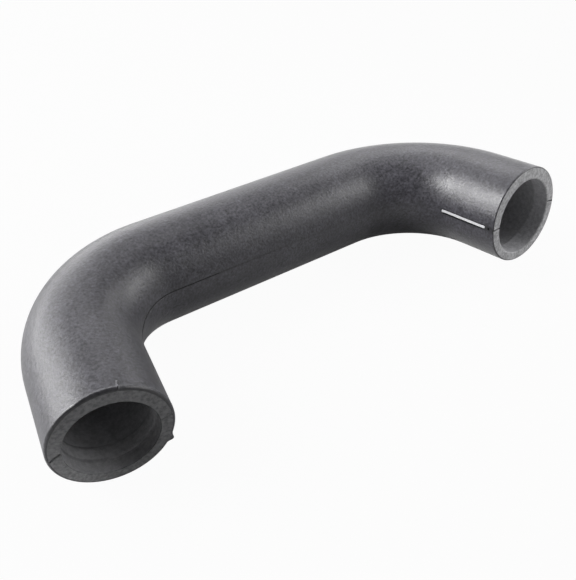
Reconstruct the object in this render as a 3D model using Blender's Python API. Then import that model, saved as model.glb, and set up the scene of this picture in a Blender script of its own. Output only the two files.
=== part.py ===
# Moulded rubber breather hose: one piece with two bends, lying on a flat surface.
# Metres, +Z up. The middle run lies along X and both legs point to -Y.
# The right bend's plane is turned up about the middle run, so the right leg rises.

from math import asin, ceil, cos, pi, radians, sin, sqrt

import bmesh
import bpy
from mathutils import Matrix, Vector

# the tube
OUTER_DIAMETER = 0.036
LEFT_WALL = 0.0045
RIGHT_WALL = 0.0039
BORE_DROP = 0.0008             # the bore runs this far below the outside's axis

# the centreline, from the left end to the right end
LEFT_LEG = 0.0276
LEFT_BEND_RADIUS = 0.0373
LEFT_BEND_ANGLE = radians(80.0)
MIDDLE_RUN = 0.0829
RIGHT_BEND_RADIUS = 0.0402
RIGHT_BEND_ANGLE = radians(85.8)
RIGHT_BEND_LIFT = radians(9.3)
RIGHT_LEG = 0.0193

# the trimmed ends
LEFT_EDGE_ROUNDING = 0.0014
RIGHT_EDGE_ROUNDING = 0.0005
INNER_CHAMFER = 0.0005
MOUTH_FLARE = 0.0003           # the left mouth's radius is this much wider than its bore
MOUTH_DEPTH = 0.0047
SEAL_WIDTH = 0.0052            # raised sealing band in the left bore, behind the mouth
SEAL_HEIGHT = 0.0004
SEAL_SLOPE = 0.0005            # length of each of the band's sloping sides

# the mould's parting line, which runs along both sides of the tube
SEAM_WIDTH = 0.0009
SEAM_HEIGHT = 0.00025
SEAM_NICK = 0.0005             # depth of the nick that it leaves across each end face
LEFT_SEAM_ANGLE = radians(175)
RIGHT_SEAM_ANGLE = radians(168)

# small marks on the left end: a raised rib on top, and a tag of flash on the inner side
RIB_ANGLE = radians(100.5)
RIB_WIDTH = 0.0009
RIB_HEIGHT = 0.0004
RIB_LENGTH = 0.0032
TAG_ANGLE = radians(206)
TAG_WIDTH = 0.0038
TAG_HEIGHT = 0.0009
TAG_LENGTH = 0.0014

# how finely the solid is drawn
FACETS = 34
BEND_STEP = radians(6)
STRAIGHT_STEP = 0.028
ROUNDING_STEPS = 3
FINEST_STEP = 0.00003

outer_radius = OUTER_DIAMETER / 2
left_bend = LEFT_BEND_RADIUS * LEFT_BEND_ANGLE
right_bend = RIGHT_BEND_RADIUS * RIGHT_BEND_ANGLE

# each run of the centreline: its length, its bend radius (0 when straight) and its plane's lift
runs = (
    (LEFT_LEG, 0, 0),
    (left_bend, LEFT_BEND_RADIUS, 0),
    (MIDDLE_RUN, 0, 0),
    (right_bend, RIGHT_BEND_RADIUS, RIGHT_BEND_LIFT),
    (RIGHT_LEG, 0, 0),
)
hose_length = sum(length for length, _, _ in runs)
middle_start = LEFT_LEG + left_bend


def clear_scene():
    for found in list(bpy.data.objects):
        bpy.data.objects.remove(found)


# In a section, x points to the outside of the bends, y up and z along the hose.
# Angles go round from x: 90 degrees is the top, and 180 the inside of the bends.
def advance(length, bend_radius, lift):
    """The move from one section to another, further along the same run."""
    if not bend_radius:
        return Matrix.Translation((0, 0, length))
    into_plane = Matrix.Rotation(-lift, 4, "Z")
    to_centre = Matrix.Translation((-bend_radius, 0, 0))
    turn = Matrix.Rotation(-length / bend_radius, 4, "Y")
    return into_plane @ to_centre @ turn @ to_centre.inverted() @ into_plane.inverted()


def walk(distance):
    """The move from the left end to the section at a distance along the centreline."""
    pose = Matrix.Identity(4)
    for length, bend_radius, lift in runs:
        step = min(distance, length)
        pose = pose @ advance(step, bend_radius, lift)
        distance -= step
    return pose


def left_end():
    """The left end's section, set so that the middle run lies level along X."""
    middle = Matrix(((0, 0, 1, -MIDDLE_RUN / 2), (1, 0, 0, 0), (0, 1, 0, outer_radius), (0, 0, 0, 1)))
    return middle @ walk(middle_start).inverted()


def ease(share):
    share = min(max(share, 0), 1)
    return share * share * (3 - 2 * share)


def drift(distance):
    """How far the section's marks have turned since the left end, as the parting line does."""
    return (RIGHT_SEAM_ANGLE - LEFT_SEAM_ANGLE) * ease((distance - LEFT_LEG) / left_bend)


def half_angle(width):
    """Half of the angle that a width takes up on the outside."""
    return asin(width / OUTER_DIAMETER)


def crest(angle, middle, width):
    """1 on the middle line of a ridge and 0 at its foot and beyond."""
    offset = (angle - middle + pi) % (2 * pi) - pi
    return max(0, 1 - abs(offset) / half_angle(width))


def seam(angle):
    return crest(angle, LEFT_SEAM_ANGLE, SEAM_WIDTH) + crest(angle, LEFT_SEAM_ANGLE + pi, SEAM_WIDTH)


def section_angles():
    """Angles of a section's points, with points at both feet and the crest of every mark."""
    marks = []
    for middle, width in (
        (LEFT_SEAM_ANGLE, SEAM_WIDTH),
        (LEFT_SEAM_ANGLE + pi, SEAM_WIDTH),
        (RIB_ANGLE, RIB_WIDTH),
        (TAG_ANGLE, TAG_WIDTH),
    ):
        marks += [(middle + side * half_angle(width)) % (2 * pi) for side in (-1, 0, 1)]
    marks.sort()
    angles = []
    for start, end in zip(marks, marks[1:] + [marks[0] + 2 * pi]):
        count = max(1, round((end - start) / (2 * pi) * FACETS))
        angles += [start + (end - start) * step / count for step in range(count)]
    return angles


def nearest_end(distance):
    """How far a section is from the nearer end, and that end's edge rounding."""
    if distance < hose_length / 2:
        return distance, LEFT_EDGE_ROUNDING
    return hose_length - distance, RIGHT_EDGE_ROUNDING


def rounded_off(distance):
    """How far the rounded edge draws the outside in, near either end."""
    reach, rounding = nearest_end(distance)
    if reach >= rounding:
        return 0
    return rounding - sqrt(rounding ** 2 - (rounding - reach) ** 2)


def outside(distance, angle):
    """The outside's radius, with the parting line, the rib and the tag of flash."""
    lost = rounded_off(distance)
    radius = outer_radius - lost + SEAM_HEIGHT * seam(angle)
    if distance <= RIB_LENGTH:
        radius += RIB_HEIGHT * crest(angle, RIB_ANGLE, RIB_WIDTH)
    tag = 1 - distance / TAG_LENGTH
    if tag > 0:
        radius += (TAG_HEIGHT * tag + lost) * crest(angle, TAG_ANGLE, TAG_WIDTH)
    return radius


def bore(distance, _angle):
    """The bore's radius: the same all round, it widens along the middle run."""
    along = ease((distance - middle_start) / MIDDLE_RUN)
    radius = outer_radius - LEFT_WALL + (LEFT_WALL - RIGHT_WALL) * along
    reach, _ = nearest_end(distance)
    radius += max(0, INNER_CHAMFER - reach)
    past_mouth = distance - MOUTH_DEPTH
    if past_mouth < 0:
        return radius + MOUTH_FLARE
    if SEAL_SLOPE <= past_mouth <= SEAL_WIDTH - SEAL_SLOPE:
        return radius - SEAL_HEIGHT
    return radius


def stations(detail):
    """Distances of the sections: the detail's own, the joints of the runs and steps between them."""
    found = list(detail)
    start = 0
    for length, bend_radius, _ in runs:
        step = BEND_STEP * bend_radius if bend_radius else STRAIGHT_STEP
        count = ceil(length / step)
        found += [start + length * index / count for index in range(count)]
        start += length
    kept = [0]
    for distance in sorted(found):
        if kept[-1] + FINEST_STEP < distance < hose_length - FINEST_STEP:
            kept.append(distance)
    return kept + [hose_length]


def outside_stations():
    turns = [1 - cos(pi / 2 * step / ROUNDING_STEPS) for step in range(1, ROUNDING_STEPS + 1)]
    left = [LEFT_EDGE_ROUNDING * turn for turn in turns]
    right = [hose_length - RIGHT_EDGE_ROUNDING * turn for turn in turns]
    return stations(left + right + [TAG_LENGTH, RIB_LENGTH, RIB_LENGTH + RIB_HEIGHT])


def bore_stations():
    seal_end = MOUTH_DEPTH + SEAL_WIDTH
    seal = [MOUTH_DEPTH - SEAL_SLOPE, MOUTH_DEPTH, MOUTH_DEPTH + SEAL_SLOPE, seal_end - SEAL_SLOPE, seal_end]
    return stations(seal + [INNER_CHAMFER, hose_length - INNER_CHAMFER])


def place_ring(ring, angles, pose, distance, radius_at, drop):
    """Put a ring's points round the section, sunk at the parting line where it crosses an end face."""
    nick = {0: SEAM_NICK, hose_length: -SEAM_NICK}.get(distance, 0)
    for vert, angle in zip(ring, angles):
        radius = radius_at(distance, angle)
        turned = angle + drift(distance)
        vert.co = pose @ Vector((radius * cos(turned), radius * sin(turned) - drop, nick * seam(angle)))


def extrude_ring(mesh, ring):
    """Extrude a closed ring of points and return the new ones in the same order."""
    edges = [mesh.edges.get(pair) for pair in zip(ring, ring[1:] + ring[:1])]
    made = set(bmesh.ops.extrude_edge_only(mesh, edges=edges)["geom"])
    fresh = []
    for vert in ring:
        neighbours = [edge.other_vert(vert) for edge in vert.link_edges]
        fresh.append(next(found for found in neighbours if found in made))
    return fresh


def build_hose():
    """Sweep a ring along the outside, over the right end, back along the bore and over the left end."""
    mesh = bmesh.new()
    start = left_end()
    angles = section_angles()
    skin = [(distance, outside, 0) for distance in outside_stations()]
    lining = [(distance, bore, BORE_DROP) for distance in reversed(bore_stations())]
    ring = bmesh.ops.create_circle(mesh, segments=len(angles), radius=outer_radius)["verts"]
    place_ring(ring, angles, start, *skin[0])
    for section in skin[1:] + lining + skin[:1]:
        ring = extrude_ring(mesh, ring)
        place_ring(ring, angles, start @ walk(section[0]), *section)
    bmesh.ops.remove_doubles(mesh, verts=mesh.verts, dist=0.000001)
    bmesh.ops.recalc_face_normals(mesh, faces=mesh.faces)
    return mesh


def centre_footprint(mesh):
    """Move the origin to the middle of the footprint, on the surface that the hose lies on."""
    lowest = [min(vert.co[axis] for vert in mesh.verts) for axis in range(3)]
    highest = [max(vert.co[axis] for vert in mesh.verts) for axis in range(3)]
    middle = Vector(((lowest[0] + highest[0]) / 2, (lowest[1] + highest[1]) / 2, lowest[2]))
    bmesh.ops.translate(mesh, verts=mesh.verts, vec=-middle)


def moulded_rubber():
    material = bpy.data.materials.new("moulded_rubber")
    material.use_nodes = True
    shader = material.node_tree.nodes["Principled BSDF"]
    shader.inputs["Base Color"].default_value = (0.055, 0.055, 0.06, 1)
    shader.inputs["Roughness"].default_value = 0.6
    shader.inputs["Metallic"].default_value = 0
    return material


def main():
    clear_scene()
    mesh = build_hose()
    centre_footprint(mesh)
    data = bpy.data.meshes.new("breather_hose")
    mesh.to_mesh(data)
    mesh.free()
    data.shade_smooth()
    data.set_sharp_from_angle(angle=radians(35))
    data.materials.append(moulded_rubber())
    hose = bpy.data.objects.new("breather_hose", data)
    bpy.context.collection.objects.link(hose)


main()
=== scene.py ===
from math import ceil, cos, degrees, pi, radians, sin, sqrt

import bmesh
import bpy
from mathutils import Matrix, Vector


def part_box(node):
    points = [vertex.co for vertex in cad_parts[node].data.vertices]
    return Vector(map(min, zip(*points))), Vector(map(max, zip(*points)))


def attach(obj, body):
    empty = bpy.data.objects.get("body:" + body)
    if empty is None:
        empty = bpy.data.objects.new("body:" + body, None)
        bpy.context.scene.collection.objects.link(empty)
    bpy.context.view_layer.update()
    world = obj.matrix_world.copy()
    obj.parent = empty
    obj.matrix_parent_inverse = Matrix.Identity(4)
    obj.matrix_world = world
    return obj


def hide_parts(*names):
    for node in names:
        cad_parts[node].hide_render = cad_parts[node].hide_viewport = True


# A moulded rubber breather hose with a white alignment mark, on a plain pale floor.
# Metres, +Z up. The middle run lies along X and both legs point to -Y.

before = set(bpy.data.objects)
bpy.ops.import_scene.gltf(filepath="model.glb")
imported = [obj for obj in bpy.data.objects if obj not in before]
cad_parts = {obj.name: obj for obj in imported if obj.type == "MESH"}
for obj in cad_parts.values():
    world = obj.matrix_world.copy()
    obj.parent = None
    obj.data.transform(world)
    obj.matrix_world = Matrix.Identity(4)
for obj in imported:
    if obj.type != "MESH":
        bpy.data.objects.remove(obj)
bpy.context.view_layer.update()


def linearColour(hexText):
    # sRGB hex, such as "#58585c", to the linear values that a socket takes
    parts = [int(hexText[start:start + 2], 16) / 255 for start in (1, 3, 5)]
    return [part / 12.92 if part <= 0.04045 else ((part + 0.055) / 1.055) ** 2.4 for part in parts] + [1]


def addNode(tree, kind, settings={}, values={}, links={}):
    node = tree.nodes.new(kind)
    for name, value in settings.items():
        setattr(node, name, value)
    for socket, value in values.items():
        node.inputs[socket].default_value = value
    for socket, source in links.items():
        tree.links.new(source, node.inputs[socket])
    return node


# a colour mix's own sockets, because its other kinds have sockets of the same names
mixShare, mixFirst, mixSecond, mixResult = 0, 6, 7, 2

# nearly all of a noise lies in the first range, and the sum of two noises in the second
noiseRange = {"From Min": 0.35, "From Max": 0.65}
twoNoisesRange = {"From Min": 0.75, "From Max": 1.25}


def startMaterial(name):
    material = bpy.data.materials.new(name)
    material.use_nodes = True
    return material, material.node_tree, material.node_tree.nodes["Principled BSDF"]


# the hose's line: two bends and three straight runs
hoseSizes = {
    "outerDiameter": 0.036,
    "leftWall": 0.0045,
    "rightWall": 0.0039,
    "boreDrop": 0.0008,          # the bore runs this far below the outside's axis
    "leftLeg": 0.0276,
    "leftBendRadius": 0.0373,
    "leftBendAngle": 80.0,
    "middleRun": 0.0829,
    "rightBendRadius": 0.0402,
    "rightBendAngle": 85.8,
    "rightBendLift": 9.3,        # the right bend's plane is turned up by this
    "rightLeg": 0.0193,
}

outerRadius = hoseSizes["outerDiameter"] / 2
leftBend = hoseSizes["leftBendRadius"] * radians(hoseSizes["leftBendAngle"])
rightBend = hoseSizes["rightBendRadius"] * radians(hoseSizes["rightBendAngle"])
runs = (                         # length, bend radius (0 when straight), lift of its plane
    (hoseSizes["leftLeg"], 0, 0),
    (leftBend, hoseSizes["leftBendRadius"], 0),
    (hoseSizes["middleRun"], 0, 0),
    (rightBend, hoseSizes["rightBendRadius"], radians(hoseSizes["rightBendLift"])),
    (hoseSizes["rightLeg"], 0, 0),
)
hoseLength = sum(length for length, _, _ in runs)
middleStart = hoseSizes["leftLeg"] + leftBend


# In a section, x points to the outside of the bends, y up and z along the hose.
# Angles go round from x: 90 degrees is the top, and 180 the inside of the bends.
def advance(length, bendRadius, lift):
    if not bendRadius:
        return Matrix.Translation((0, 0, length))
    intoPlane = Matrix.Rotation(-lift, 4, "Z")
    toCentre = Matrix.Translation((-bendRadius, 0, 0))
    turn = Matrix.Rotation(-length / bendRadius, 4, "Y")
    return intoPlane @ toCentre @ turn @ toCentre.inverted() @ intoPlane.inverted()


def walk(distance):
    pose = Matrix.Identity(4)
    for length, bendRadius, lift in runs:
        step = min(distance, length)
        pose = pose @ advance(step, bendRadius, lift)
        distance -= step
    return pose


middlePose = Matrix((
    (0, 0, 1, -hoseSizes["middleRun"] / 2),
    (1, 0, 0, 0),
    (0, 1, 0, outerRadius),
    (0, 0, 0, 1),
))
startPose = middlePose @ walk(middleStart).inverted()


def ease(share):
    share = min(max(share, 0), 1)
    return share * share * (3 - 2 * share)


# small marks that the mould and the knife leave
markSizes = {
    "leftRounding": 0.0008,
    "rightRounding": 0.0004,
    "innerChamfer": 0.0003,
    "mouthFlare": 0.0001,        # the left mouth is this much wider than its bore
    "mouthDepth": 0.0047,
    "sealWidth": 0.0052,         # raised sealing band behind the left mouth
    "sealHeight": 0.00022,
    "sealSlope": 0.0008,
    "rightLip": 0.0051,          # the right bore is a hair wider this far in
    "rightLipStep": 0.00012,
    "rightLipSlope": 0.0024,
    "rightLipFade": 0.05,        # and back to the even bore over this length
    "seamWidth": 0.0009,         # the mould's parting line: a low ridge along both sides
    "seamHeight": 0.00006,
    "seamGroove": 0.0001,        # with a fine dark groove above it
    "ridgeBelow": 0.4,           # how far ridge and groove lie off the line, as shares of its width
    "grooveAbove": 0.3,
    "seamFade": 0.8,             # the share of it that fades away along the middle run
    "seamFadeLead": 0.002,       # from this far before the run
    "seamFadeLength": 0.075,
    "seamNick": 0.0005,          # its notch across each end face
    "faintNick": 0.35,           # the left end's inner notch is only this share as deep
    "nickWidth": 0.0011,
    "lineReach": 0.003,          # a point this near to a line belongs to the marks on it
    "leftSeamAngle": 175.0,
    "rightSeamAngle": 168.0,
    "seamSlip": 1.5,             # degrees more that the line turns along the right leg
    "seamSlipStart": 0.045,      # from this far before the right end
    "seamSlipLength": 0.041,
    "seamEndSlip": 2.7,          # and over its last few millimetres
    "seamEndLength": 0.0036,
    "farEndSlips": (-3.5, -4.0),  # the outer line's own turn at the left and right ends
    "farSlipLength": 0.02,
    "leftNickSlant": (0, 13.5),  # degrees that the notches at 175 and 355 turn on their way inwards
    "rightNickSlant": (-4.5, 7),
    "nickReach": 0.012,          # these turns die out this far round the hose
    "lipHeight": 0.00013,        # thin raised lip behind the upper inner part of the left rim
    "lipWidth": 0.0009,
    "lipFrom": 62.0,             # it spans these degrees, and thins out over the last of them
    "lipTo": 172.0,
    "lipFade": 14.0,
    "ribAngle": 102.2,           # short raised rib on top of the left rim
    "ribSkew": 0.5,              # degrees that it slants in each millimetre
    "ribWidth": 0.001,
    "ribHeight": 0.00028,
    "ribLength": 0.0032,
    "ribFade": 0.0006,
    "tagAngle": 207.3,           # tag of flash on the left rim's inner side
    "tagWidth": 0.0043,
    "tagHeight": 0.00085,
    "tagLength": 0.0014,
}

leftSeam = radians(markSizes["leftSeamAngle"])


def drift(distance):
    # how far the parting line has turned since the left end
    turned = markSizes["rightSeamAngle"] - markSizes["leftSeamAngle"]
    turned *= ease((distance - hoseSizes["leftLeg"]) / leftBend)
    pastSlip = distance - hoseLength + markSizes["seamSlipStart"]
    turned += markSizes["seamSlip"] * ease(pastSlip / markSizes["seamSlipLength"])
    pastEndSlip = distance - hoseLength + markSizes["seamEndLength"]
    turned += markSizes["seamEndSlip"] * ease(pastEndSlip / markSizes["seamEndLength"])
    return radians(turned)


def offLine(angle, middle):
    # distance round the outside from a mark's middle line
    return abs((angle - middle + pi) % (2 * pi) - pi) * outerRadius


def offSeam(angle):
    return min(offLine(angle, leftSeam), offLine(angle, leftSeam + pi))


def hump(offset, width):
    # a smooth ridge: 1 on its middle line and 0 at its foot
    share = min(offset / (width / 2), 1)
    return (1 + cos(pi * share)) / 2


def aboveSeam(angle):
    # how far a point is above the nearer parting line, going round the outside
    near = (angle - leftSeam + pi) % (2 * pi) - pi
    far = (angle - leftSeam) % (2 * pi) - pi
    return -near * outerRadius if abs(near) < abs(far) else far * outerRadius


def seamStrength(distance):
    # the line is crisp over the left bend and fades along the middle run
    pastLead = distance - middleStart + markSizes["seamFadeLead"]
    return 1 - markSizes["seamFade"] * ease(pastLead / markSizes["seamFadeLength"])


def roundedOff(distance):
    fromEnd, rounding = distance, markSizes["leftRounding"]
    if distance > hoseLength / 2:
        fromEnd, rounding = hoseLength - distance, markSizes["rightRounding"]
    if fromEnd >= rounding:
        return 0
    return rounding - sqrt(max(0, rounding ** 2 - (rounding - fromEnd) ** 2))


def outsideRelief(distance, angle):
    above = aboveSeam(angle)
    width, rounding = markSizes["seamWidth"], markSizes["leftRounding"]
    ridge = hump(abs(above + width * markSizes["ridgeBelow"]), width)
    groove = hump(abs(above - width * markSizes["grooveAbove"]), width)
    height = markSizes["seamHeight"] * seamStrength(distance) * ridge
    height -= markSizes["seamGroove"] * seamStrength(distance) * groove
    if distance < rounding:
        # over the rounded rim the line is a plain notch
        notch = hump(offSeam(angle), markSizes["nickWidth"])
        height = -markSizes["seamNick"] * (1 - distance / rounding) * notch
    lipSpan = ease((degrees(angle) - markSizes["lipFrom"]) / markSizes["lipFade"])
    lipSpan *= ease((markSizes["lipTo"] - degrees(angle)) / markSizes["lipFade"])
    height += markSizes["lipHeight"] * lipSpan * hump(abs(distance - rounding), markSizes["lipWidth"])
    ribEnd = 1 - ease((distance - markSizes["ribLength"] + markSizes["ribFade"]) / markSizes["ribFade"])
    ribAngle = radians(markSizes["ribAngle"] + markSizes["ribSkew"] * distance * 1000)
    ribHump = hump(offLine(angle, ribAngle), markSizes["ribWidth"])
    height += markSizes["ribHeight"] * ribEnd * ribHump
    tag = 1 - distance / markSizes["tagLength"]
    if tag > 0:
        tagHump = hump(offLine(angle, radians(markSizes["tagAngle"])), markSizes["tagWidth"])
        height += (markSizes["tagHeight"] * tag + roundedOff(distance)) * tagHump
    return height


def boreRadius(distance):
    wall = hoseSizes["leftWall"]
    wall += (hoseSizes["rightWall"] - wall) * ease((distance - middleStart) / hoseSizes["middleRun"])
    radius = outerRadius - wall
    fromEnd = min(distance, hoseLength - distance)
    radius += max(0, markSizes["innerChamfer"] - fromEnd)
    pastLip = hoseLength - distance - markSizes["rightLip"]
    narrowed = ease(pastLip / markSizes["rightLipSlope"])
    radius -= markSizes["rightLipStep"] * narrowed * (1 - ease(pastLip / markSizes["rightLipFade"]))
    pastMouth = distance - markSizes["mouthDepth"]
    if pastMouth < 0:
        return radius + markSizes["mouthFlare"]
    rise = min(pastMouth, markSizes["sealWidth"] - pastMouth) / markSizes["sealSlope"]
    return radius - markSizes["sealHeight"] * ease(rise)


# The hose is one ring of points, extruded along the outside, over the right end, back
# along the bore and over the left end.
hoseRings = {
    "pointsRound": 168,          # even, so that the parting line has a point on both sides
    "extraCuts": 3,              # more points in each edge near a mark
    "nearSeam": 0.0013,          # how near that is
    "nearMark": 0.0016,
    "ribMiddle": 2.0,            # degrees from the rib's start to the middle of its extra points
    "straightStep": 0.0025,
    "bendStep": 3.0,             # in degrees
    "boreStraightStep": 0.006,
    "boreBendStep": 6.0,
    "closest": 0.00002,          # two rings nearer than this become one
    "inRounding": 6,
    "leftRimStep": 0.00035,      # finer rings behind the left rim carry the lip, the rib and the tag
    "leftRimCount": 12,
    "rightRimStep": 0.0008,
    "rightRimCount": 5,
    "faceShares": (0.06, 0.25, 0.5, 0.75, 0.94, 1),  # across an end face, from the outside to the bore
    "inLeftBore": (0.002, 0.0035),
    "inRightBore": 0.002,
    "roundMouth": (-0.0006, -0.00004, 0),  # off the place where the wider mouth ends
    "roundSeal": (-0.0009, 0, 0.0004, 0.0009),  # off the place where the sealing band ends
    "rightLipStep": 0.0004,
    "rightLipCount": 8,
}


def stops(longStep, bendStep, extra):
    found = [0, hoseLength] + list(extra)
    start = 0
    for length, bendRadius, _ in runs:
        step = bendStep * bendRadius if bendRadius else longStep
        count = ceil(length / step)
        found += [start + length * index / count for index in range(count)]
        start += length
    kept = []
    for distance in sorted(found):
        if not kept or distance - kept[-1] > hoseRings["closest"]:
            kept.append(distance)
    return kept


def outsideStops():
    count = hoseRings["inRounding"]
    turns = [1 - cos(pi / 2 * step / count) for step in range(1, count + 1)]
    extra = [markSizes["leftRounding"] * turn for turn in turns]
    extra += [hoseLength - markSizes["rightRounding"] * turn for turn in turns]
    extra += [hoseRings["leftRimStep"] * step for step in range(1, hoseRings["leftRimCount"] + 1)]
    extra += [hoseLength - hoseRings["rightRimStep"] * step
              for step in range(1, hoseRings["rightRimCount"] + 1)]
    found = stops(hoseRings["straightStep"], radians(hoseRings["bendStep"]), extra)
    return [distance for distance in found if distance < hoseLength - hoseRings["closest"]] + [hoseLength]


def boreStops():
    mouth, seal, slope = markSizes["mouthDepth"], markSizes["sealWidth"], markSizes["sealSlope"]
    chamfer, closest = markSizes["innerChamfer"], hoseRings["closest"]
    extra = [mouth + offset for offset in hoseRings["roundMouth"] + (slope / 2, slope)]
    extra += [mouth + seal + offset for offset in hoseRings["roundSeal"] + (-slope / 2, -slope)]
    extra += [hoseLength - markSizes["rightLip"] - hoseRings["rightLipStep"] * step
              for step in range(-1, hoseRings["rightLipCount"])]
    extra += [chamfer / 2, chamfer, hoseLength - chamfer / 2, hoseLength - chamfer]
    extra += [*hoseRings["inLeftBore"], hoseLength - hoseRings["inRightBore"]]
    found = stops(hoseRings["boreStraightStep"], radians(hoseRings["boreBendStep"]), extra)
    return [distance for distance in found if closest < distance < hoseLength - closest]


def sweepPlan():
    # distance, radius, drop and surface of each ring, in the order of the sweep
    plan = [(distance, outerRadius - roundedOff(distance), 0, "outside") for distance in outsideStops()]
    shares, drop = hoseRings["faceShares"], hoseSizes["boreDrop"]
    rightIn, rightOut = boreRadius(hoseLength), outerRadius - markSizes["rightRounding"]
    leftIn, leftOut = boreRadius(0), outerRadius - markSizes["leftRounding"]
    plan += [(hoseLength, rightOut + (rightIn - rightOut) * share, drop * share, "rightFace")
             for share in shares]
    plan += [(distance, boreRadius(distance), drop, "bore") for distance in reversed(boreStops())]
    plan += [(0, leftOut + (leftIn - leftOut) * share, drop * share, "leftFace")
             for share in reversed(shares)]
    return plan


def ringPose(distance, radius, drop):
    size = radius / outerRadius
    dropped = startPose @ walk(distance) @ Matrix.Translation((0, -drop, 0))
    turned = Matrix.Rotation(drift(distance), 4, "Z")
    return dropped @ turned @ Matrix.Diagonal((size, size, 1, 1))


def startRing(mesh):
    # a circle with a point on the parting line, and more points near each mark
    found = bmesh.ops.create_circle(mesh, segments=hoseRings["pointsRound"], radius=outerRadius)
    bmesh.ops.rotate(mesh, verts=found["verts"], matrix=Matrix.Rotation(leftSeam, 3, "Z"))
    angles = {
        leftSeam: hoseRings["nearSeam"],
        leftSeam + pi: hoseRings["nearSeam"],
        radians(markSizes["ribAngle"] + hoseRings["ribMiddle"]): hoseRings["nearMark"],
        radians(markSizes["tagAngle"]): hoseRings["nearMark"],
    }
    marks = [(Matrix.Rotation(angle, 3, "Z") @ Vector((outerRadius, 0, 0)), reach)
             for angle, reach in angles.items()]
    close = [edge for edge in mesh.edges if any(
        ((edge.verts[0].co + edge.verts[1].co) / 2 - mark).length < reach for mark, reach in marks)]
    bmesh.ops.subdivide_edges(mesh, edges=close, cuts=hoseRings["extraCuts"])
    for vert in mesh.verts:
        vert.co = vert.co.normalized() * outerRadius
    return list(mesh.verts)


# places in the hose's list of materials
surfaceSlots = {"outside": 0, "bore": 1, "rightFace": 2, "leftFace": 2, "shadedCrease": 3}


def buildHose():
    mesh = bmesh.new()
    roundLayer = mesh.verts.layers.float.new("roundAngle")
    dirtAndShadeLayer = mesh.verts.layers.float.new("dirtAndPaintedShade")
    ring = startRing(mesh)
    for vert in ring:
        vert[roundLayer] = -Vector((1, 0)).angle_signed(vert.co.xy) % (2 * pi)
    plan = sweepPlan()
    pose = ringPose(*plan[0][:3])
    bmesh.ops.transform(mesh, matrix=pose, verts=ring)
    rings = [(ring, pose, plan[0][0], plan[0][3])]
    edges = list(mesh.edges)
    chamfer, closest = markSizes["innerChamfer"], hoseRings["closest"]
    for distance, radius, drop, surface in plan[1:] + plan[:1]:
        made = bmesh.ops.extrude_edge_only(mesh, edges=edges)["geom"]
        ring = [part for part in made if isinstance(part, bmesh.types.BMVert)]
        edges = [part for part in made if isinstance(part, bmesh.types.BMEdge) and part.is_boundary]
        edges = [edge for edge in edges if all(vert in ring for vert in edge.verts)]
        slot = surfaceSlots[surface]
        onChamfer = distance < chamfer - closest or hoseLength - distance < chamfer + closest
        if rings[-1][3] == "leftFace" or surface == "bore" and onChamfer:
            slot = surfaceSlots["leftFace"]
        for part in made:
            if isinstance(part, bmesh.types.BMFace):
                part.material_index = slot
        nextPose = ringPose(distance, radius, drop)
        bmesh.ops.transform(mesh, matrix=nextPose @ pose.inverted(), verts=ring)
        pose = nextPose
        rings.append((ring, pose, distance, surface))
    addRelief(rings, roundLayer, dirtAndShadeLayer)
    # faces deep in painted shade get the dark crease material
    for face in mesh.faces:
        leastDirtAndShade = min(vert[dirtAndShadeLayer] for vert in face.verts)
        if face.material_index != surfaceSlots["bore"] and leastDirtAndShade > dirtAndShadeLook["shadedFrom"]:
            face.material_index = surfaceSlots["shadedCrease"]
    bmesh.ops.remove_doubles(mesh, verts=rings[0][0] + rings[-1][0], dist=closest)
    bmesh.ops.recalc_face_normals(mesh, faces=mesh.faces)
    return mesh


def addRelief(rings, roundLayer, dirtAndShadeLayer):
    for ring, pose, distance, surface in rings:
        centre = pose @ Vector((0, 0, 0))
        inward = pose.to_3x3() @ Vector((0, 0, 1)) * (1 if distance < hoseLength / 2 else -1)
        atEnd = distance in (0, hoseLength)
        for vert in ring:
            angle = vert[roundLayer]
            if surface != "bore":
                inwards = (outerRadius - (vert.co - centre).length) / hoseSizes["leftWall"]
                slant = nickSlant(distance, angle) * inwards + farSlip(distance, angle)
                vert.co = pose @ Matrix.Rotation(slant, 4, "Z") @ pose.inverted() @ vert.co
            outward = (vert.co - centre).normalized()
            if surface == "outside":
                vert.co += outward * outsideRelief(distance, angle)
            if atEnd:
                faint = distance == 0 and offLine(angle, leftSeam) < markSizes["lineReach"]
                depth = markSizes["faintNick"] if faint else 1
                notch = hump(offSeam(angle), markSizes["nickWidth"])
                vert.co += inward * depth * markSizes["seamNick"] * notch
            # each point's share of dirt and painted shade
            vert[dirtAndShadeLayer] = dirtAndPaintedShade(distance, angle, surface)


def nickSlant(distance, angle):
    nearSlant, farSlant = markSizes["leftNickSlant" if distance < hoseLength / 2 else "rightNickSlant"]
    near = 1 - ease(offLine(angle, leftSeam) / markSizes["nickReach"])
    far = 1 - ease(offLine(angle, leftSeam + pi) / markSizes["nickReach"])
    return radians(nearSlant * near + farSlant * far)


def farSlip(distance, angle):
    fromEnd = min(distance, hoseLength - distance)
    slip = markSizes["farEndSlips"][0 if fromEnd == distance else 1]
    along = 1 - ease(fromEnd / markSizes["farSlipLength"])
    return radians(slip) * along * (1 - ease(offLine(angle, leftSeam + pi) / markSizes["nickReach"]))
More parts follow.
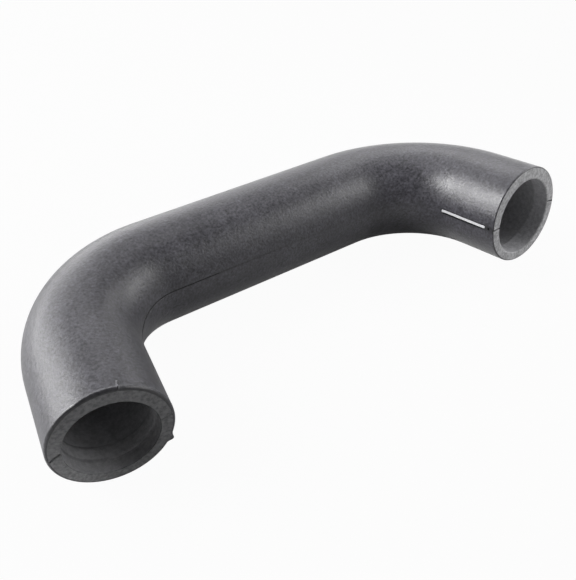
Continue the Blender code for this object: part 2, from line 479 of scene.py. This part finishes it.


# Dirt and painted shade, from 0 for none to 1: most of it is painted shade in grooves, notches, steps and
# rim edges. A side, as (angle, least, span), is full at that angle and none where the cosine of the angle
# from there is down to its least value.
dirtAndShadeLook = {
    "shadedFrom": 0.76,          # a face darker than this gets the dark crease material: dust and painted shade
    "lineWidth": 0.001,
    "innerNotch": 0.3,           # shares of the line's dirt in the left face's two notches
    "outerNotch": 0.5,
    "rimShare": 0.8,             # the left rim is painted darker over this share of its rounding: painted shade, stronger on its top side
    "rim": 0.2,
    "rimTop": 0.5,
    "rimTopSide": (95, 0.1, 0.4),
    "rimEdgeFrom": 80.0,         # past this angle the rim's painted shade keeps to its very edge
    "rimEdgeFade": 20.0,
    "rimEdge": 0.0003,
    # painted shade along the right rim's edge
    "rightRim": 0.2,
    "rightRimWidth": 0.0003,
    "grooveAbove": 0.0003,       # painted shade in the parting line's groove
    "grooveWidth": 0.0012,
    "besideFrom": 0.003,         # shade beside the white mark, from here to there off the right end
    "besideTo": 0.027,
    "besideEndFade": 0.0004,
    "besideBelow": 0.0002,
    "besideHalfWidth": 0.0007,
    "besideFade": 0.0006,
    "smudge": 0.74,              # a smudge between the white mark and the right end
    "smudgeLength": 0.0042,
    "smudgeEndFade": 0.0008,
    "smudgeHalfWidth": 0.0006,
    "smudgeFade": 0.003,
    "spot": 0.8,                 # and a spot filled with dust in its middle
    "spotFrom": 0.0009,
    "spotTo": 0.0027,
    "spotHalfWidth": 0.0005,
    "sealStart": 0.74,           # painted shade along both edges of the sealing band, fading out towards the inner side
    "sealStartIn": 0.0002,
    "sealStartWidth": 0.0014,
    "sealEnd": 0.66,
    "sealEndWidth": 0.0018,
    "sealSide": (318, 0.4, 0.55),
    "mouthShade": 0.45,             # painted shade just inside the left mouth, on one side
    "mouthShadeFade": 0.001,
    "mouthShadeSide": (215, 0.3, 0.4),
    "deepBoreShade": 0.31,            # painted shade deeper in the right bore, past its short lip
    "deepBoreShadeFade": 0.0009,
    "longerLip": 0.0016,         # which reaches this much further in on one side
    "longerLipSide": (245, -0.1, 1),
    # painted shade along the edge of that lip
    "lipEdge": 0.5,
    "lipEdgeIn": 0.0005,
    "lipEdgeWidth": 0.0014,
    "lipEdgeSide": (250, 0.6, 0.3),
}


def onSide(angle, side):
    middle, least, span = side
    return ease((cos(angle - radians(middle)) - least) / span)


# painted shade along the left rim's edge, darker round its top
def rimPaintedShade(distance, angle):
    rim = dirtAndShadeLook["rim"] + dirtAndShadeLook["rimTop"] * onSide(angle, dirtAndShadeLook["rimTopSide"])
    narrowed = ease((degrees(angle) - dirtAndShadeLook["rimEdgeFrom"]) / dirtAndShadeLook["rimEdgeFade"])
    return rim * (1 - narrowed * ease((distance - dirtAndShadeLook["rimEdge"]) / dirtAndShadeLook["rimEdge"]))


def besideMark(fromRight, above):
    beside = ease((fromRight - dirtAndShadeLook["besideFrom"]) / dirtAndShadeLook["besideEndFade"])
    beside *= ease((dirtAndShadeLook["besideTo"] - fromRight) / dirtAndShadeLook["besideEndFade"])
    across = abs(above + dirtAndShadeLook["besideBelow"]) - dirtAndShadeLook["besideHalfWidth"]
    beside *= 1 - ease(across / dirtAndShadeLook["besideFade"])
    offGroove = abs(above - dirtAndShadeLook["grooveAbove"])
    smudge = dirtAndShadeLook["smudge"] * ease((dirtAndShadeLook["smudgeLength"] - fromRight) / dirtAndShadeLook["smudgeEndFade"])
    smudge *= hump(max(0, offGroove - dirtAndShadeLook["smudgeHalfWidth"]), dirtAndShadeLook["smudgeFade"])
    onSpot = dirtAndShadeLook["spotFrom"] < fromRight < dirtAndShadeLook["spotTo"] and offGroove < dirtAndShadeLook["spotHalfWidth"]
    return max(beside, smudge, dirtAndShadeLook["spot"] if onSpot else 0)


def outsideDirtAndShade(distance, angle):
    fromRight, above = hoseLength - distance, aboveSeam(angle)
    if distance < markSizes["leftRounding"] * dirtAndShadeLook["rimShare"]:
        return max(hump(offSeam(angle), dirtAndShadeLook["lineWidth"]), rimPaintedShade(distance, angle))
    groove = hump(abs(above - dirtAndShadeLook["grooveAbove"]), dirtAndShadeLook["grooveWidth"]) * seamStrength(distance)
    if offLine(angle, leftSeam) < markSizes["lineReach"]:
        groove = max(groove, besideMark(fromRight, above))
    return max(groove, dirtAndShadeLook["rightRim"] if fromRight < dirtAndShadeLook["rightRimWidth"] else 0)


def boreDirtAndShade(distance, angle):
    pastMouth = distance - markSizes["mouthDepth"]
    edges = dirtAndShadeLook["sealStart"] * hump(abs(pastMouth - dirtAndShadeLook["sealStartIn"]), dirtAndShadeLook["sealStartWidth"])
    sealEnd = hump(abs(pastMouth - markSizes["sealWidth"]), dirtAndShadeLook["sealEndWidth"])
    edges = max(edges, dirtAndShadeLook["sealEnd"] * sealEnd) * onSide(angle, dirtAndShadeLook["sealSide"])
    mouthShade = dirtAndShadeLook["mouthShade"] * ease(-pastMouth / dirtAndShadeLook["mouthShadeFade"])
    mouthShade *= onSide(angle, dirtAndShadeLook["mouthShadeSide"])
    pastLip = hoseLength - distance - markSizes["rightLip"]
    pastLip -= dirtAndShadeLook["longerLip"] * onSide(angle, dirtAndShadeLook["longerLipSide"])
    lipEdge = dirtAndShadeLook["lipEdge"] * hump(abs(pastLip - dirtAndShadeLook["lipEdgeIn"]), dirtAndShadeLook["lipEdgeWidth"])
    lipEdge *= onSide(angle, dirtAndShadeLook["lipEdgeSide"])
    return max(edges, mouthShade, lipEdge, dirtAndShadeLook["deepBoreShade"] * ease(pastLip / dirtAndShadeLook["deepBoreShadeFade"]))


def dirtAndPaintedShade(distance, angle, surface):
    if surface == "outside":
        return outsideDirtAndShade(distance, angle)
    if surface == "bore":
        return boreDirtAndShade(distance, angle)
    line = hump(offSeam(angle), dirtAndShadeLook["lineWidth"])
    if surface == "rightFace":
        return line
    inner = offLine(angle, leftSeam) < markSizes["lineReach"]
    return dirtAndShadeLook["innerNotch" if inner else "outerNotch"] * line


sharpEdge = radians(40)          # edges sharper than this stay crisp


def addPiece(mesh, name, materials):
    data = bpy.data.meshes.new(name)
    mesh.to_mesh(data)
    mesh.free()
    data.shade_smooth()
    data.set_sharp_from_angle(angle=sharpEdge)
    for material in materials:
        data.materials.append(material)
    piece = bpy.data.objects.new(name, data)
    bpy.context.collection.objects.link(piece)
    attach(piece, "root")
    return piece


rubberLook = {
    "colour": "#44434a",
    "cloudColour": "#504f56",    # faint paler bloom on the skin
    "dirtAndShadeColour": "#0e0e10",
    "cloudSize": 0.016,
    "mottleSize": 0.0026,
    "grainSize": 0.00085,        # the real grain is about 0.2 mm: drawn coarser, so that it shows
    "noiseDetail": 2,
    "noiseRoughness": 0.6,
    "grainHeight": 0.00009,
    "mottleHeight": 0.00009,
    "grainTone": (0.54, 1.46),
    "mottleTone": (0.86, 1.14),
    "roughness": (0.33, 0.45),
    "ior": 1.8,                  # above plain rubber's 1.52: the filler and the bloom shine more
    "sheen": 0.55,
    "sheenRoughness": 0.4,
}


def mouldedRubber():
    # EPDM rubber, moulded: a soft wide sheen, broken up by fine grain and faint cloudy patches
    material, tree, shader = startMaterial("mouldedRubber")
    place = addNode(tree, "ShaderNodeTexCoord").outputs["Object"]
    dirtAndShade = addNode(tree, "ShaderNodeAttribute", {"attribute_name": "dirtAndPaintedShade"}).outputs["Fac"]
    noise = {}
    for layer in ("cloud", "mottle", "grain"):
        noise[layer] = addNode(
            tree, "ShaderNodeTexNoise", {},
            {"Scale": 1 / rubberLook[layer + "Size"], "Detail": rubberLook["noiseDetail"],
             "Roughness": rubberLook["noiseRoughness"]}, {"Vector": place}).outputs["Fac"]
    cloudy = addNode(tree, "ShaderNodeMapRange", {}, noiseRange, {"Value": noise["cloud"]})
    skin = addNode(tree, "ShaderNodeMix", {"data_type": "RGBA"},
                   {mixFirst: linearColour(rubberLook["colour"]),
                    mixSecond: linearColour(rubberLook["cloudColour"])},
                   {mixShare: cloudy.outputs["Result"]})
    # the grain's hollows hold less light than its crests, and so do the mottle's
    tones = []
    for layer in ("grain", "mottle"):
        lowTone, highTone = rubberLook[layer + "Tone"]
        tone = addNode(tree, "ShaderNodeMapRange", {"clamp": False},
                       {**noiseRange, "To Min": lowTone, "To Max": highTone}, {"Value": noise[layer]})
        tones.append(tone.outputs["Result"])
    bothTones = addNode(tree, "ShaderNodeMath", {"operation": "MULTIPLY"}, {}, {0: tones[0], 1: tones[1]})
    speckled = addNode(tree, "ShaderNodeVectorMath", {"operation": "SCALE"}, {},
                       {0: skin.outputs[mixResult], "Scale": bothTones.outputs["Value"]})
    # dirt and painted shade pull the colour towards the dark crease colour
    colour = addNode(tree, "ShaderNodeMix", {"data_type": "RGBA"},
                     {mixSecond: linearColour(rubberLook["dirtAndShadeColour"])},
                     {mixShare: dirtAndShade, mixFirst: speckled.outputs[0]})
    both = addNode(tree, "ShaderNodeMath", {"operation": "ADD"}, {}, {0: noise["mottle"], 1: noise["grain"]})
    lowRough, highRough = rubberLook["roughness"]
    rough = addNode(tree, "ShaderNodeMapRange", {},
                    {**twoNoisesRange, "To Min": lowRough, "To Max": highRough},
                    {"Value": both.outputs["Value"]})
    wide = addNode(tree, "ShaderNodeBump", {}, {"Strength": 1, "Distance": rubberLook["mottleHeight"]},
                   {"Height": noise["mottle"]})
    fine = addNode(tree, "ShaderNodeBump", {}, {"Strength": 1, "Distance": rubberLook["grainHeight"]},
                   {"Height": noise["grain"], "Normal": wide.outputs["Normal"]})
    shader.inputs["IOR"].default_value = rubberLook["ior"]
    shader.inputs["Sheen Weight"].default_value = rubberLook["sheen"]
    shader.inputs["Sheen Roughness"].default_value = rubberLook["sheenRoughness"]
    tree.links.new(colour.outputs[mixResult], shader.inputs["Base Color"])
    tree.links.new(rough.outputs["Result"], shader.inputs["Roughness"])
    tree.links.new(fine.outputs["Normal"], shader.inputs["Normal"])
    return material


boreLook = {
    # pale: release powder, and painted light inside the bore
    "colour": "#bababd",
    "cloudColour": "#dadadd",
    "dirtAndShadeColour": "#2c2c2f",
    "grainSize": 0.0014,
    "noiseDetail": 3,
    "noiseRoughness": 0.7,
    "grainHeight": 0.0001,
    "roughness": 0.65,
    "ior": 1.52,
}


def boreRubber():
    # the same rubber off a mandrel: matt and uneven, and drawn far paler than the skin: partly release
    # powder, partly painted light falling into the bore
    material, tree, shader = startMaterial("mandrelRubber")
    place = addNode(tree, "ShaderNodeTexCoord").outputs["Object"]
    dirtAndShade = addNode(tree, "ShaderNodeAttribute", {"attribute_name": "dirtAndPaintedShade"}).outputs["Fac"]
    grain = addNode(tree, "ShaderNodeTexNoise", {},
                    {"Scale": 1 / boreLook["grainSize"], "Detail": boreLook["noiseDetail"],
                     "Roughness": boreLook["noiseRoughness"]}, {"Vector": place})
    uneven = addNode(tree, "ShaderNodeMapRange", {}, noiseRange, {"Value": grain.outputs["Fac"]})
    powderAndLight = addNode(tree, "ShaderNodeMix", {"data_type": "RGBA"},
                     {mixFirst: linearColour(boreLook["colour"]),
                      mixSecond: linearColour(boreLook["cloudColour"])},
                     {mixShare: uneven.outputs["Result"]})
    # dirt and painted shade pull the colour towards the dark crease colour
    colour = addNode(tree, "ShaderNodeMix", {"data_type": "RGBA"},
                     {mixSecond: linearColour(boreLook["dirtAndShadeColour"])},
                     {mixShare: dirtAndShade, mixFirst: powderAndLight.outputs[mixResult]})
    bump = addNode(tree, "ShaderNodeBump", {}, {"Strength": 1, "Distance": boreLook["grainHeight"]},
                   {"Height": grain.outputs["Fac"]})
    shader.inputs["IOR"].default_value = boreLook["ior"]
    shader.inputs["Roughness"].default_value = boreLook["roughness"]
    tree.links.new(colour.outputs[mixResult], shader.inputs["Base Color"])
    tree.links.new(bump.outputs["Normal"], shader.inputs["Normal"])
    return material


dustAndShadeLook = {
    "colour": "#1c1c1e",
    "roughness": 0.9,
    "ior": 1.2,                  # below rubber's 1.52, so that the crease hardly shines: dust and painted shade
}


def creasedRubber():
    # the same rubber deep in a crease, drawn dark and dull: dust and painted shade
    material, tree, shader = startMaterial("dustAndShadeRubber")
    shader.inputs["Base Color"].default_value = linearColour(dustAndShadeLook["colour"])
    shader.inputs["Roughness"].default_value = dustAndShadeLook["roughness"]
    shader.inputs["IOR"].default_value = dustAndShadeLook["ior"]
    return material


cutLook = {
    "leftColour": "#868688",
    "lowerLitColour": "#b6b6b8",  # towards the left face's lower outer side: painted light, as the floor throws it
    "rightFresherLitColour": "#d2d2d4",    # the right end's face is drawn paler than the left's: partly a fresher cut, partly painted light from the right front
    "dirtAndShadeColour": "#101012",
    "lowerLight": (-0.068, -0.096),   # x + z, in metres, where this painted light starts and where it is full
    "sawSize": 0.0011,
    "noiseDetail": 3,
    "noiseRoughness": 0.6,
    "sawHeight": 0.0001,
    "sawTone": (0.72, 1.28),
    "roughness": 0.7,
    "ior": 1.52,
}


def cutRubber():
    # the same rubber cut through with a knife: dull and paler, with fine drag marks, and painted light that
    # makes the right face and the left face's lower outer side paler still
    material, tree, shader = startMaterial("knifeCutRubber")
    place = addNode(tree, "ShaderNodeTexCoord").outputs["Object"]
    dirtAndShade = addNode(tree, "ShaderNodeAttribute", {"attribute_name": "dirtAndPaintedShade"}).outputs["Fac"]
    axes = addNode(tree, "ShaderNodeSeparateXYZ", {}, {}, {"Vector": place})
    # 1 on the right end's face and 0 on the left end's
    side = addNode(tree, "ShaderNodeMath", {"operation": "GREATER_THAN"}, {1: 0}, {0: axes.outputs["X"]})
    marks = addNode(tree, "ShaderNodeTexNoise", {},
                    {"Scale": 1 / cutLook["sawSize"], "Detail": cutLook["noiseDetail"],
                     "Roughness": cutLook["noiseRoughness"]}, {"Vector": place})
    lowOuter = addNode(tree, "ShaderNodeMath", {"operation": "ADD"}, {},
                       {0: axes.outputs["X"], 1: axes.outputs["Z"]})
    lowerLightStart, lowerLightFull = cutLook["lowerLight"]
    lowerLit = addNode(tree, "ShaderNodeMapRange", {}, {"From Min": lowerLightStart, "From Max": lowerLightFull},
                      {"Value": lowOuter.outputs["Value"]})
    left = addNode(tree, "ShaderNodeMix", {"data_type": "RGBA"},
                   {mixFirst: linearColour(cutLook["leftColour"]),
                    mixSecond: linearColour(cutLook["lowerLitColour"])},
                   {mixShare: lowerLit.outputs["Result"]})
    base = addNode(tree, "ShaderNodeMix", {"data_type": "RGBA"},
                   {mixSecond: linearColour(cutLook["rightFresherLitColour"])},
                   {mixShare: side.outputs["Value"], mixFirst: left.outputs[mixResult]})
    lowTone, highTone = cutLook["sawTone"]
    shade = addNode(tree, "ShaderNodeMapRange", {},
                    {**noiseRange, "To Min": lowTone, "To Max": highTone}, {"Value": marks.outputs["Fac"]})
    mottled = addNode(tree, "ShaderNodeVectorMath", {"operation": "SCALE"}, {},
                      {0: base.outputs[mixResult], "Scale": shade.outputs["Result"]})
    # dirt and painted shade pull the colour towards the dark crease colour
    colour = addNode(tree, "ShaderNodeMix", {"data_type": "RGBA"},
                     {mixSecond: linearColour(cutLook["dirtAndShadeColour"])},
                     {mixShare: dirtAndShade, mixFirst: mottled.outputs[0]})
    bump = addNode(tree, "ShaderNodeBump", {}, {"Strength": 1, "Distance": cutLook["sawHeight"]},
                   {"Height": marks.outputs["Fac"]})
    shader.inputs["IOR"].default_value = cutLook["ior"]
    shader.inputs["Roughness"].default_value = cutLook["roughness"]
    tree.links.new(colour.outputs[mixResult], shader.inputs["Base Color"])
    tree.links.new(bump.outputs["Normal"], shader.inputs["Normal"])
    return material


# the white alignment mark: a thin film of paint on the right leg's parting line
paintSizes = {
    "fromEnd": 0.0036,
    "length": 0.0228,
    "width": 0.00096,
    "thickness": 0.00012,
    "proud": 0.00007,
    "pointsAlong": 60,
    "pointsAcross": 6,
    "tipShare": 0.01,            # keeps the rounded ends from closing to a point
    "colour": "#fbfbfd",
    "thinColour": "#ededf1",     # where the film is thinner
    "streakSize": 0.0015,
    "streakDetail": 2,
    "streakHeight": 0.00002,
    "roughness": 0.55,
}


def buildMark():
    mesh = bmesh.new()
    bmesh.ops.create_grid(mesh, x_segments=paintSizes["pointsAlong"],
                          y_segments=paintSizes["pointsAcross"], size=0.5)
    halfLength, halfWidth = paintSizes["length"] / 2, paintSizes["width"] / 2
    middle = hoseLength - paintSizes["fromEnd"] - halfLength
    for vert in mesh.verts:
        along = sin(vert.co.x * pi) * halfLength      # points gather near the rounded ends
        pastStraight = max(0, abs(along) - (halfLength - halfWidth)) / halfWidth
        across = vert.co.y * 2 * halfWidth * sqrt(max(paintSizes["tipShare"], 1 - pastStraight ** 2))
        distance = middle + along
        angle = leftSeam + across / outerRadius
        radius = outerRadius + outsideRelief(distance, angle) + paintSizes["proud"]
        turned = angle + drift(distance)
        vert.co = startPose @ walk(distance) @ Vector((radius * cos(turned), radius * sin(turned), 0))
    bmesh.ops.recalc_face_normals(mesh, faces=mesh.faces)
    centre = startPose @ walk(middle) @ Vector((0, 0, 0))
    face = min(mesh.faces, key=lambda found: (found.calc_center_median() - centre).length)
    if face.normal.dot(face.calc_center_median() - centre) < 0:
        bmesh.ops.reverse_faces(mesh, faces=mesh.faces)
    bmesh.ops.solidify(mesh, geom=mesh.faces, thickness=paintSizes["thickness"])
    bmesh.ops.recalc_face_normals(mesh, faces=mesh.faces)
    return mesh


def markingPaint():
    # marking paint, wiped on by brush: matt and chalky, a little uneven in tone
    material, tree, shader = startMaterial("brushedMarkingPaint")
    place = addNode(tree, "ShaderNodeTexCoord").outputs["Object"]
    streak = addNode(tree, "ShaderNodeTexNoise", {},
                     {"Scale": 1 / paintSizes["streakSize"], "Detail": paintSizes["streakDetail"]},
                     {"Vector": place})
    colour = addNode(tree, "ShaderNodeMix", {"data_type": "RGBA"},
                     {mixFirst: linearColour(paintSizes["thinColour"]),
                      mixSecond: linearColour(paintSizes["colour"])},
                     {mixShare: streak.outputs["Fac"]})
    bump = addNode(tree, "ShaderNodeBump", {}, {"Strength": 1, "Distance": paintSizes["streakHeight"]},
                   {"Height": streak.outputs["Fac"]})
    shader.inputs["Roughness"].default_value = paintSizes["roughness"]
    tree.links.new(colour.outputs[mixResult], shader.inputs["Base Color"])
    tree.links.new(bump.outputs["Normal"], shader.inputs["Normal"])
    return material


hoseMesh = buildHose()
markMesh = buildMark()

# the sweep starts from the middle run's own place: bring both pieces to the frame's box
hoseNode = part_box("breather_hose")
lowest = [min(vert.co[axis] for vert in hoseMesh.verts) for axis in range(3)]
highest = [max(vert.co[axis] for vert in hoseMesh.verts) for axis in range(3)]
builtMiddle = Vector([(low + high) / 2 for low, high in zip(lowest, highest)])
shift = (hoseNode[0] + hoseNode[1]) / 2 - builtMiddle
shift.z = hoseNode[0].z - lowest[2]
for built in (hoseMesh, markMesh):
    bmesh.ops.translate(built, verts=built.verts, vec=shift)

hoseMaterials = [mouldedRubber(), boreRubber(), cutRubber(), creasedRubber()]  # as surfaceSlots counts them
hose = addPiece(hoseMesh, "breatherHose", hoseMaterials)
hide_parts("breather_hose")
print("hose:", len(hose.data.polygons), "faces, moved by", [round(value, 6) for value in shift])
mark = addPiece(markMesh, "alignmentMark", [markingPaint()])
print("alignment mark:", len(mark.data.polygons), "faces")


stageLook = {
    "floorRadius": 2.4,
    "floorSides": 96,
    "floorDrop": 0.0001,         # keeps the floor clear of the hose
    "coveSteps": 10,             # the floor's edge curves up in so many strips
    "coveStep": 0.12,
    "wallHeight": 0.9,
    "floorColour": "#b2b2b2",
    "floorRoughness": 0.9,
    "seenGlow": 0.96,            # share of plain white that the camera sees in the floor
    "mirroredGlow": 0.05,        # and that reflections see
    "worldColour": "#ffffff",
    "worldStrength": 0.06,
    "aimHeight": 0.02,           # where the softboxes point
}

# azimuth from +Y towards +X, elevation, distance, width, height, and brightness where 1 is white
softboxes = {
    "leftPanel": (-45, 24, 0.9, 0.94, 0.75, 1.64),
    "leftKey": (-60, 36, 0.88, 0.42, 0.42, 9.8),
    "leftLow": (-45, 5, 0.9, 0.9, 0.14, 4.1),
    "backLow": (0, 5, 0.9, 0.6, 0.14, 3.5),
    "backPanel": (15, 24, 0.9, 0.7, 0.6, 0.91),
    "rightKey": (120, 36, 0.88, 0.42, 0.42, 1.8),
    "rightPanel": (120, 24, 0.92, 1.3, 0.75, 0.59),
    "overhead": (20, 70, 0.35, 0.16, 0.16, 1.03),
    "nearRightBack": (60, 35, 0.2, 0.09, 0.09, 1.47),
    "nearRightFront": (100, 25, 0.2, 0.09, 0.09, 2.1),
}

cameraLook = {
    "place": (-0.12148, -0.16576, 0.17745),
    "target": (0.00206, 0.00069, 0.00444),
    "roll": 1.73,
    "lens": 45.815,
    "sensorWidth": 36,
    "clipStart": 0.01,
}


def addFloor():
    # a round floor whose edge curves up into a low wall, so that every side view ends on it
    mesh = bmesh.new()
    bmesh.ops.create_circle(mesh, cap_ends=True, segments=stageLook["floorSides"],
                            radius=stageLook["floorRadius"])
    bmesh.ops.translate(mesh, verts=mesh.verts, vec=(0, 0, -stageLook["floorDrop"]))
    edges = [edge for edge in mesh.edges if edge.is_boundary]
    turn = 90 / stageLook["coveSteps"]
    for step in range(stageLook["coveSteps"]):
        made = bmesh.ops.extrude_edge_only(mesh, edges=edges)["geom"]
        ring = [part for part in made if isinstance(part, bmesh.types.BMVert)]
        edges = [part for part in made if isinstance(part, bmesh.types.BMEdge) and part.is_boundary]
        slope = radians(turn * step + turn / 2)
        grow = 1 + stageLook["coveStep"] * cos(slope) / ring[0].co.xy.length
        bmesh.ops.scale(mesh, vec=(grow, grow, 1), verts=ring)
        bmesh.ops.translate(mesh, vec=(0, 0, stageLook["coveStep"] * sin(slope)), verts=ring)
    made = bmesh.ops.extrude_edge_only(mesh, edges=edges)["geom"]
    ring = [part for part in made if isinstance(part, bmesh.types.BMVert)]
    bmesh.ops.translate(mesh, vec=(0, 0, stageLook["wallHeight"]), verts=ring)
    bmesh.ops.recalc_face_normals(mesh, faces=mesh.faces)
    inside = Vector((0, 0, 3))   # a point that every face of the floor and the wall looks towards
    outwards = [face for face in mesh.faces if face.normal.dot(inside - face.calc_center_median()) < 0]
    bmesh.ops.reverse_faces(mesh, faces=outwards)
    data = bpy.data.meshes.new("floor")
    mesh.to_mesh(data)
    mesh.free()
    data.shade_smooth()
    floor = bpy.data.objects.new("floor", data)
    bpy.context.collection.objects.link(floor)
    # matt painted board: pale to the eye, and darker in the hose's shadow
    material, tree, shader = startMaterial("mattPaintedBoard")
    shader.inputs["Base Color"].default_value = linearColour(stageLook["floorColour"])
    shader.inputs["Roughness"].default_value = stageLook["floorRoughness"]
    rays = addNode(tree, "ShaderNodeLightPath")
    seen = addNode(tree, "ShaderNodeMath", {"operation": "MULTIPLY"}, {1: stageLook["seenGlow"]},
                   {0: rays.outputs["Is Camera Ray"]})
    bounced = addNode(tree, "ShaderNodeMath", {"operation": "MAXIMUM"}, {},
                      {0: rays.outputs["Is Glossy Ray"], 1: rays.outputs["Is Transmission Ray"]})
    mirrored = addNode(tree, "ShaderNodeMath", {"operation": "MULTIPLY"}, {1: stageLook["mirroredGlow"]},
                       {0: bounced.outputs["Value"]})
    share = addNode(tree, "ShaderNodeMath", {"operation": "MAXIMUM"}, {},
                    {0: seen.outputs["Value"], 1: mirrored.outputs["Value"]})
    glow = addNode(tree, "ShaderNodeEmission", {}, {"Color": (1, 1, 1, 1), "Strength": 1})
    mixed = addNode(tree, "ShaderNodeMixShader", {}, {},
                    {0: share.outputs["Value"], 1: shader.outputs["BSDF"], 2: glow.outputs["Emission"]})
    tree.links.new(mixed.outputs["Shader"], tree.nodes["Material Output"].inputs["Surface"])
    data.materials.append(material)


def addSoftbox(name, azimuth, elevation, distance, width, height, brightness):
    data = bpy.data.lights.new(name, "AREA")
    data.shape = "RECTANGLE"
    data.size = width
    data.size_y = height
    data.energy = brightness * pi * width * height
    light = bpy.data.objects.new(name, data)
    flat = cos(radians(elevation))
    toLight = Vector((sin(radians(azimuth)) * flat, cos(radians(azimuth)) * flat, sin(radians(elevation))))
    light.location = toLight * distance + Vector((0, 0, stageLook["aimHeight"]))
    light.rotation_euler = toLight.to_track_quat("Z", "Y").to_euler()
    light.visible_camera = False
    bpy.context.collection.objects.link(light)


def addWorld():
    world = bpy.data.worlds.new("studio")
    world.use_nodes = True
    background = world.node_tree.nodes["Background"]
    background.inputs["Color"].default_value = linearColour(stageLook["worldColour"])
    background.inputs["Strength"].default_value = stageLook["worldStrength"]
    bpy.context.scene.world = world


def addCamera():
    data = bpy.data.cameras.new("photoCamera")
    data.lens = cameraLook["lens"]
    data.sensor_width = cameraLook["sensorWidth"]
    data.clip_start = cameraLook["clipStart"]
    camera = bpy.data.objects.new("photoCamera", data)
    towards = Vector(cameraLook["target"]) - Vector(cameraLook["place"])
    turn = towards.to_track_quat("-Z", "Y").to_matrix().to_4x4()
    camera.matrix_world = (Matrix.Translation(cameraLook["place"]) @ turn
                           @ Matrix.Rotation(radians(cameraLook["roll"]), 4, "Z"))
    bpy.context.collection.objects.link(camera)
    bpy.context.scene.camera = camera


addFloor()
for boxName, settings in softboxes.items():
    addSoftbox(boxName, *settings)
addWorld()
addCamera()
bpy.context.scene.view_settings.view_transform = "Standard"
print("stage: floor,", len(softboxes), "softboxes, camera")
